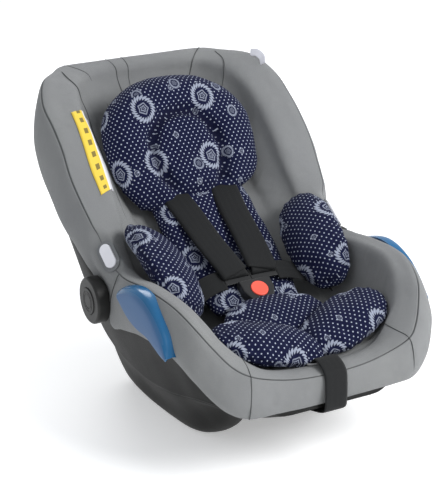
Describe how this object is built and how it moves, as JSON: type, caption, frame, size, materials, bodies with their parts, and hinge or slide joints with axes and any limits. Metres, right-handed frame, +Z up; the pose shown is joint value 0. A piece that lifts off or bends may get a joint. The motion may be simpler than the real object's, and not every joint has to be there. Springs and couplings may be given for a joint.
{
  "type": "infant car seat",
  "caption": "Rear-facing infant carrier seat with rocker base, padded grey cover, printed insert, harness with buckle, side hubs and blue belt guides.",
  "frame": {"origin": "middle of the flat resting face under the rocker base", "axes": "+Z up, +Y towards the head end, +X towards the occupant's left side"},
  "size_m": [0.471, 0.689, 0.4751],
  "materials": {
    "shell_plastic": "fine moulded texture",
    "foam": "expanded foam",
    "cover_fabric": "padded woven fabric",
    "rubber": "matt",
    "steel": "zinc plated",
    "guide_plastic": "gloss moulded",
    "webbing": "woven polyester webbing",
    "buckle_plastic": "satin moulded",
    "red_plastic": "satin moulded",
    "hub_plastic": "satin moulded",
    "surround_plastic": "satin moulded",
    "white_plastic": "satin moulded",
    "tag_fabric": "thin ribbon",
    "label_fabric": "printed ribbon",
    "insert_fabric": "printed cotton jersey"
  },
  "bodies": {
    "seat": {"base_shell": "shell_plastic", "seat_shell": "shell_plastic", "impact_foam": "foam", "seat_cover": "cover_fabric", "rubber_feet": "rubber", "shell_screws": "steel", "rear_belt_guide": "guide_plastic", "crotch_strap": "webbing", "adjuster_strap": "webbing", "buckle_back": "buckle_plastic", "buckle_front": "buckle_plastic", "buckle_spring": "steel", "yoke": "steel", "adjuster_body": "steel", "adjuster_pin": "steel", "adjuster_spring": "steel", "wash_tag": "tag_fabric", "side_label": "label_fabric", "body_pad": "insert_fabric", "seat_wedge": "insert_fabric", "head_cushion": "insert_fabric", "head_pad": "insert_fabric", "hub_mount_left": "hub_plastic", "hub_mount_right": "hub_plastic", "hub_bolt_left": "steel", "hub_bolt_right": "steel", "adapter_surround_left": "surround_plastic", "adapter_surround_right": "surround_plastic", "adapter_spring_left": "steel", "adapter_spring_right": "steel", "belt_guide_left": "guide_plastic", "belt_guide_right": "guide_plastic", "lap_anchor_left": "steel", "lap_anchor_right": "steel", "shoulder_strap_left": "webbing", "shoulder_strap_right": "webbing", "lap_strap_left": "webbing", "lap_strap_right": "webbing", "shoulder_pad_left": "webbing", "shoulder_pad_right": "webbing", "torso_bolster_left": "insert_fabric", "torso_bolster_right": "insert_fabric", "leg_bolster_left": "insert_fabric", "leg_bolster_right": "insert_fabric"},
    "hub_disc_left": {"hub_disc_left": "hub_plastic", "hub_spring_left": "steel"},
    "hub_disc_right": {"hub_disc_right": "hub_plastic", "hub_spring_right": "steel"},
    "hub_button_left": {"hub_button_left": "hub_plastic"},
    "hub_button_right": {"hub_button_right": "hub_plastic"},
    "adapter_button_left": {"adapter_button_left": "white_plastic"},
    "adapter_button_right": {"adapter_button_right": "white_plastic"},
    "buckle_button": {"buckle_button": "red_plastic"},
    "tongue_left": {"tongue_left": "buckle_plastic"},
    "tongue_right": {"tongue_right": "buckle_plastic"},
    "adjuster_lever": {"adjuster_lever": "buckle_plastic"}
  },
  "joints": [
    {"name": "hub_turn_left", "type": "hinge", "parent": "seat", "child": "hub_disc_left", "pos_m": [0.224, 0.032, 0.184], "axis": [1, 0, 0], "range_deg": [0, 125]},
    {"name": "hub_turn_right", "type": "hinge", "parent": "seat", "child": "hub_disc_right", "pos_m": [-0.224, 0.032, 0.184], "axis": [1, 0, 0], "range_deg": [0, 125]},
    {"name": "hub_button_press_left", "type": "slide", "parent": "hub_disc_left", "child": "hub_button_left", "axis": [-1, 0, 0], "range_m": [0, 0.005], "stiffness_N_per_m": 900, "springref_m": -0.002, "deforming": ["hub_spring_left"]},
    {"name": "hub_button_press_right", "type": "slide", "parent": "hub_disc_right", "child": "hub_button_right", "axis": [1, 0, 0], "range_m": [0, 0.005], "stiffness_N_per_m": 900, "springref_m": -0.002, "deforming": ["hub_spring_right"]},
    {"name": "adapter_press_left", "type": "slide", "parent": "seat", "child": "adapter_button_left", "axis": [-0.7502, 0.3591, -0.5552], "range_m": [0, 0.005], "stiffness_N_per_m": 600, "springref_m": -0.002, "deforming": ["adapter_spring_left"]},
    {"name": "adapter_press_right", "type": "slide", "parent": "seat", "child": "adapter_button_right", "axis": [0.7502, 0.3591, -0.5552], "range_m": [0, 0.005], "stiffness_N_per_m": 600, "springref_m": -0.002, "deforming": ["adapter_spring_right"]},
    {"name": "buckle_press", "type": "slide", "parent": "seat", "child": "buckle_button", "axis": [0, 0.5, -0.866], "range_m": [0, 0.004], "stiffness_N_per_m": 900, "springref_m": -0.002, "deforming": ["buckle_spring"]},
    {"name": "tongue_pull_left", "type": "slide", "parent": "seat", "child": "tongue_left", "axis": [0, 0.866, 0.5], "range_m": [0, 0.02], "deforming": ["shoulder_strap_left", "lap_strap_left"]},
    {"name": "tongue_pull_right", "type": "slide", "parent": "seat", "child": "tongue_right", "axis": [0, 0.866, 0.5], "range_m": [0, 0.02], "deforming": ["shoulder_strap_right", "lap_strap_right"]},
    {"name": "adjuster_press", "type": "hinge", "parent": "seat", "child": "adjuster_lever", "pos_m": [0, -0.256, 0.112], "axis": [-1, 0, 0], "range_deg": [0, 8], "stiffness_Nm_per_rad": 0.5, "springref_deg": -2.86, "deforming": ["adjuster_spring"]}
  ],
  "couplings": [
    {"joint": "hub_turn_right", "follows": "hub_turn_left", "ratio": 1}
  ]
}
